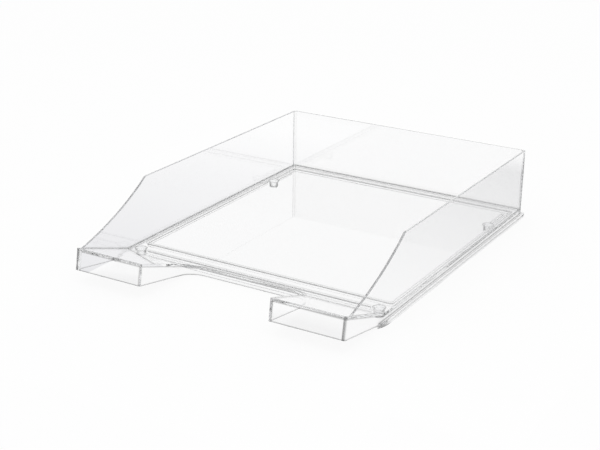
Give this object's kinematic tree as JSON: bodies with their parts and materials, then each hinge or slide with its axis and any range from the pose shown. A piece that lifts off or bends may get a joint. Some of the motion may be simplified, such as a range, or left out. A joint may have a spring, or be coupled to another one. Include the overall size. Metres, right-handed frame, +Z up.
{
  "type": "letter tray",
  "caption": "Clear stackable letter tray with swept side walls, two front lips beside a wide finger cut-out, a stepped skirt that laps over a tray below, and round feet.",
  "frame": {"origin": "middle of the footprint, on the table that the tray stands on", "axes": "+X to the right of a person who faces the open front, +Y to the back wall, +Z up"},
  "size_m": [0.255, 0.348, 0.065],
  "materials": {
    "clear_plastic": "crystal-clear moulded polystyrene, polished",
    "clear_foot": "clear, slightly soft plastic"
  },
  "bodies": {
    "root": {"tray_body": "clear_plastic", "foot_front_left": "clear_foot", "foot_front_right": "clear_foot", "foot_rear_left": "clear_foot", "foot_rear_right": "clear_foot"}
  },
  "joints": []
}
